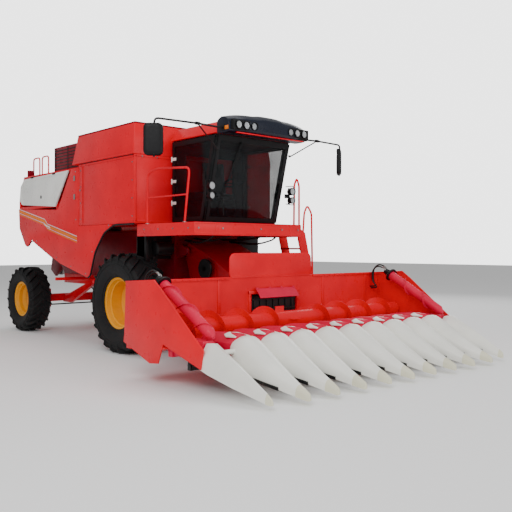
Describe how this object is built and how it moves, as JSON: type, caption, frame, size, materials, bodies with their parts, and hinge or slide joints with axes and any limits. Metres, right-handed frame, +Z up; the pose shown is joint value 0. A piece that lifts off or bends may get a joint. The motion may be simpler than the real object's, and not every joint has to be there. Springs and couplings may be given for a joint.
{
  "type": "combine harvester with maize header",
  "caption": "Self-propelled combine harvester with a row-crop maize header, cab, grain tank, folding unloading auger, and steered rear wheels.",
  "frame": {"origin": "centre of the machine's footprint box, on the ground", "axes": "+Z up, -Y is the direction of travel with the header in front, +X is the machine's left side with the ladder"},
  "size_m": [5.38, 9.66, 3.92],
  "materials": {
    "red_paint": "glossy bright red enamel",
    "maroon_paint": "dark red enamel, shaded surfaces",
    "black_paint": "satin black paint",
    "navy_plastic": "moulded blue-black plastic",
    "white_panel": "off-white moulded plastic",
    "rim_yellow": "yellow-orange enamel",
    "tyre_rubber": "matte black rubber",
    "cab_glass": "tinted safety glass",
    "grey_steel": "bare steel",
    "seat_fabric": "dark woven cover",
    "lamp_lens": "clear lamp lens",
    "amber_lens": "amber lens",
    "mirror_face": "mirror glass",
    "stripe_paint": "yellow and white line paint"
  },
  "bodies": {
    "chassis": {"main_frame": "red_paint", "front_axle": "maroon_paint", "rear_axle": "red_paint", "separator_body": "red_paint", "straw_chopper": "maroon_paint", "engine_block": "grey_steel", "side_panel_right": "red_paint", "side_panel_left": "red_paint", "grain_tank": "red_paint", "tank_extension": "red_paint", "rear_hood": "red_paint", "air_intake_box": "maroon_paint", "deck_rails": "red_paint", "platform": "red_paint", "ladder": "red_paint", "cab_frame": "black_paint", "cab_mounts": "black_paint", "windscreen": "cab_glass", "cab_roof": "red_paint", "roof_visor": "navy_plastic", "seat": "seat_fabric", "seat_base": "black_paint", "steering_column": "black_paint", "mirror_right": "black_paint", "mirror_left": "black_paint", "pillar_lamp_right": "black_paint", "pillar_lamp_left": "black_paint"},
    "header": {"feeder_house": "red_paint", "header_frame": "red_paint", "row_units": "maroon_paint", "snouts": "white_panel", "end_auger_motor_right": "black_paint", "end_auger_motor_left": "black_paint"},
    "cross_auger": {"cross_auger": "red_paint"},
    "lift_barrels": {"lift_barrels": "black_paint"},
    "lift_rods": {"lift_rods": "grey_steel"},
    "tie_rod": {"tie_rod": "black_paint"},
    "unloading_auger": {"unloading_auger": "maroon_paint"},
    "front_wheel_right": {"front_right_tyre": "tyre_rubber", "front_right_rim": "rim_yellow"},
    "rear_wheel_right": {"rear_right_tyre": "tyre_rubber", "rear_right_rim": "rim_yellow"},
    "knuckle_right": {"knuckle_right": "black_paint"},
    "end_auger_right": {"end_auger_right": "red_paint"},
    "tank_cover_right": {"tank_cover_right": "maroon_paint"},
    "service_panel_right": {"service_panel_right": "white_panel"},
    "cab_door_right": {"cab_door_right": "cab_glass"},
    "front_wheel_left": {"front_left_tyre": "tyre_rubber", "front_left_rim": "rim_yellow"},
    "rear_wheel_left": {"rear_left_tyre": "tyre_rubber", "rear_left_rim": "rim_yellow"},
    "knuckle_left": {"knuckle_left": "black_paint"},
    "end_auger_left": {"end_auger_left": "red_paint"},
    "tank_cover_left": {"tank_cover_left": "maroon_paint"},
    "service_panel_left": {"service_panel_left": "white_panel"},
    "cab_door_left": {"cab_door_left": "cab_glass"}
  },
  "joints": [
    {"name": "header_lift", "type": "hinge", "parent": "chassis", "child": "header", "pos_m": [0, -0.63, 1.74], "axis": [-1, 0, 0], "range_deg": [0, 25]},
    {"name": "cross_auger_spin", "type": "hinge", "parent": "header", "child": "cross_auger", "pos_m": [0, -2.59, 0.7], "axis": [1, 0, 0], "continuous": true},
    {"name": "end_auger_right_spin", "type": "hinge", "parent": "header", "child": "end_auger_right", "pos_m": [-2.47, -2.63, 1.3], "axis": [0, 0.8682, 0.4961], "continuous": true},
    {"name": "front_wheel_right_spin", "type": "hinge", "parent": "chassis", "child": "front_wheel_right", "pos_m": [-1.39, -0.01, 0.85], "axis": [1, 0, 0], "continuous": true},
    {"name": "tank_cover_right_hinge", "type": "hinge", "parent": "chassis", "child": "tank_cover_right", "pos_m": [-1.51, 0.59, 3.9003], "axis": [0, -1, 0], "range_deg": [0, 100]},
    {"name": "service_panel_right_hinge", "type": "hinge", "parent": "chassis", "child": "service_panel_right", "pos_m": [-1.58, 2.89, 3.27], "axis": [0, 1, 0], "range_deg": [0, 70]},
    {"name": "cab_door_right_hinge", "type": "hinge", "parent": "chassis", "child": "cab_door_right", "pos_m": [-0.828, -0.5, 2.91], "axis": [0, 0, -1], "range_deg": [0, 32]},
    {"name": "end_auger_left_spin", "type": "hinge", "parent": "header", "child": "end_auger_left", "pos_m": [2.47, -2.63, 1.3], "axis": [0, 0.8682, 0.4961], "continuous": true},
    {"name": "front_wheel_left_spin", "type": "hinge", "parent": "chassis", "child": "front_wheel_left", "pos_m": [1.39, -0.01, 0.85], "axis": [1, 0, 0], "continuous": true},
    {"name": "tank_cover_left_hinge", "type": "hinge", "parent": "chassis", "child": "tank_cover_left", "pos_m": [1.51, 0.59, 3.9003], "axis": [0, 1, 0], "range_deg": [0, 100]},
    {"name": "service_panel_left_hinge", "type": "hinge", "parent": "chassis", "child": "service_panel_left", "pos_m": [1.58, 2.89, 3.27], "axis": [0, -1, 0], "range_deg": [0, 70]},
    {"name": "cab_door_left_hinge", "type": "hinge", "parent": "chassis", "child": "cab_door_left", "pos_m": [0.828, -0.5, 2.91], "axis": [0, 0, 1], "range_deg": [0, 65]},
    {"name": "steer_right", "type": "hinge", "parent": "chassis", "child": "knuckle_right", "pos_m": [-1.02, 4.14, 0.69], "axis": [0, 0, 1], "range_deg": [-30, 30]},
    {"name": "steer_left", "type": "hinge", "parent": "chassis", "child": "knuckle_left", "pos_m": [1.02, 4.14, 0.69], "axis": [0, 0, 1], "range_deg": [-30, 30]},
    {"name": "rear_wheel_right_spin", "type": "hinge", "parent": "knuckle_right", "child": "rear_wheel_right", "pos_m": [-1.34, 4.14, 0.69], "axis": [1, 0, 0], "continuous": true},
    {"name": "rear_wheel_left_spin", "type": "hinge", "parent": "knuckle_left", "child": "rear_wheel_left", "pos_m": [1.34, 4.14, 0.69], "axis": [1, 0, 0], "continuous": true},
    {"name": "tie_rod_swing", "type": "hinge", "parent": "knuckle_right", "child": "tie_rod", "pos_m": [-0.9, 4.38, 0.5], "axis": [0, 0, 1], "range_deg": [-30, 30]},
    {"name": "lift_barrel_pivot", "type": "hinge", "parent": "chassis", "child": "lift_barrels", "pos_m": [0, -0.2, 0.6], "axis": [-1, 0, 0], "range_deg": [0, 16.75]},
    {"name": "lift_rod_slide", "type": "slide", "parent": "lift_barrels", "child": "lift_rods", "axis": [0, -1, 0], "range_m": [0, 0.465]},
    {"name": "unloading_auger_swing", "type": "hinge", "parent": "chassis", "child": "unloading_auger", "pos_m": [1.02, 1.89, 3.5], "axis": [0, 0, -1], "range_deg": [0, 90]}
  ],
  "couplings": [
    {"joint": "steer_left", "follows": "steer_right", "ratio": 1},
    {"joint": "tie_rod_swing", "follows": "steer_right", "ratio": -1},
    {"joint": "lift_barrel_pivot", "follows": "header_lift", "ratio": 0.668},
    {"joint": "lift_rod_slide", "follows": "header_lift", "m_per_rad": 1.0611}
  ]
}
